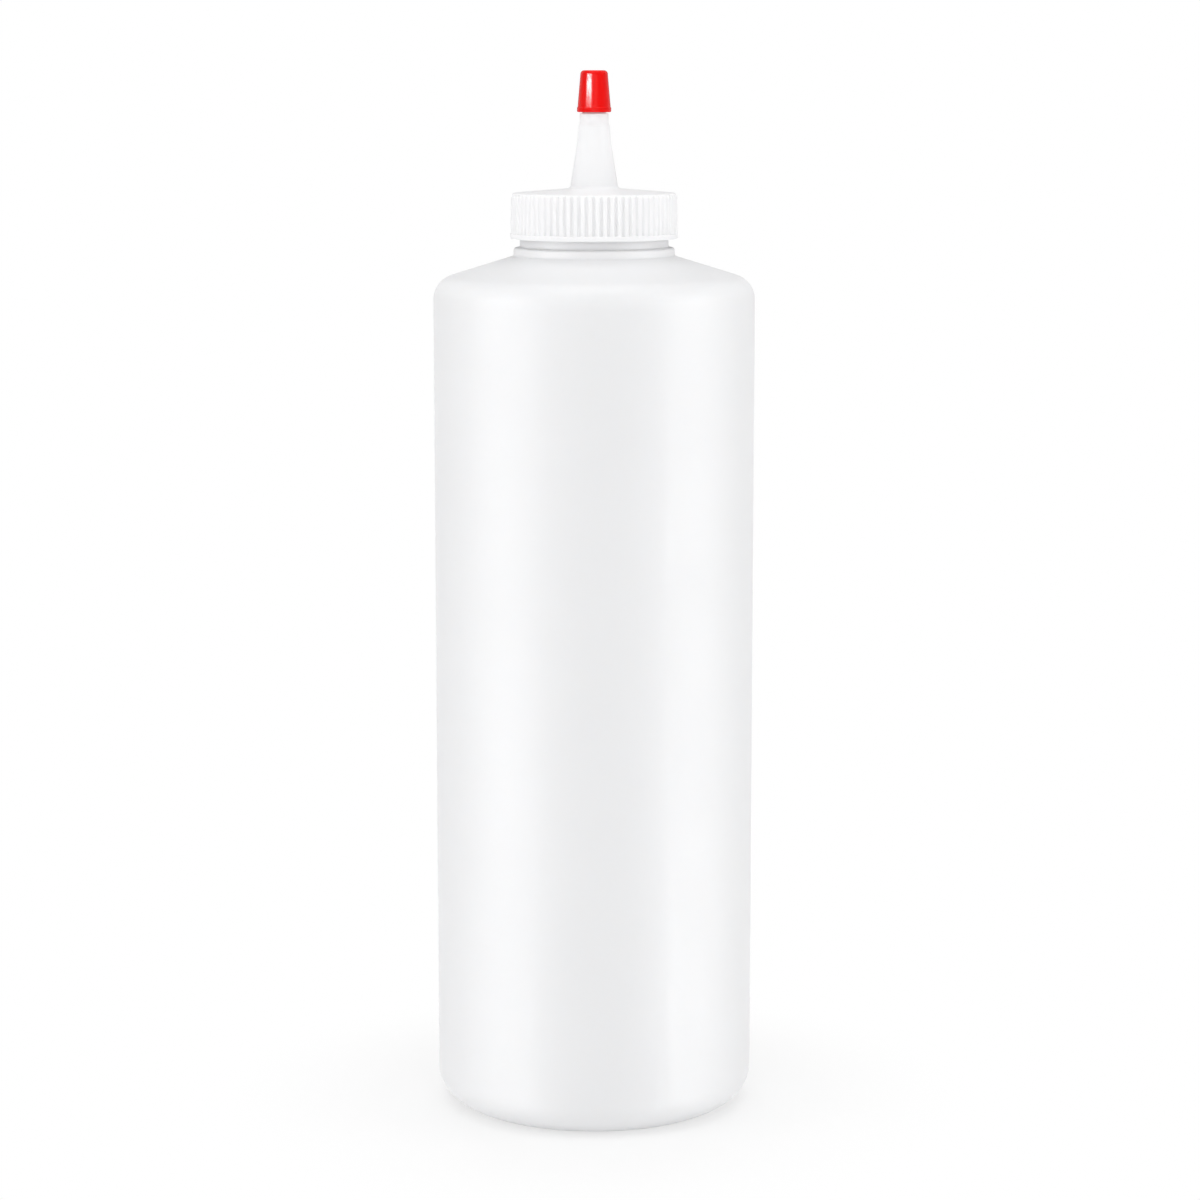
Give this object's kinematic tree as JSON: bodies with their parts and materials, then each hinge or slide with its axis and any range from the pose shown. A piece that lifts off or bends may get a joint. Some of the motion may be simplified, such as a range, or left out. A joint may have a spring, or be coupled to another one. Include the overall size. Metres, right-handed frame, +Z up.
{
  "type": "squeeze bottle",
  "caption": "Tall round squeeze bottle for sauces, with a ribbed screw cap, a tapered pouring spout and a small cover plugged over its end.",
  "frame": {"origin": "centre of the flat standing ring under the bottle, on its axis", "axes": "+Z up the bottle's axis and out through the spout, -Y towards the viewer of the picture, and X along the pinch weld under the bottle"},
  "size_m": [0.08, 0.08, 0.2605],
  "materials": {
    "natural_bottle": "milky translucent blown polyethylene, satin",
    "natural_cap": "milky moulded polyethylene, satin",
    "red_cover": "bright red moulded polyethylene, soft gloss",
    "washer_foam": "white closed-cell foam"
  },
  "bodies": {
    "bottle": {"bottle": "natural_bottle"},
    "seal": {"sealing_washer": "washer_foam"},
    "cap": {"spout_cap": "natural_cap"},
    "tip": {"tip_cover": "red_cover"}
  },
  "joints": [
    {"name": "cap_rise", "type": "slide", "parent": "bottle", "child": "seal", "axis": [0, 0, 1], "range_m": [0, 0.0106]},
    {"name": "cap_turn", "type": "hinge", "parent": "seal", "child": "cap", "pos_m": [0, 0, 0.2273], "axis": [0, 0, 1], "range_deg": [0, 900]},
    {"name": "tip_pull", "type": "slide", "parent": "cap", "child": "tip", "axis": [0, 0, 1], "range_m": [0, 0.012]}
  ],
  "couplings": [
    {"joint": "cap_rise", "follows": "cap_turn", "m_per_rad": 0.0006737}
  ]
}
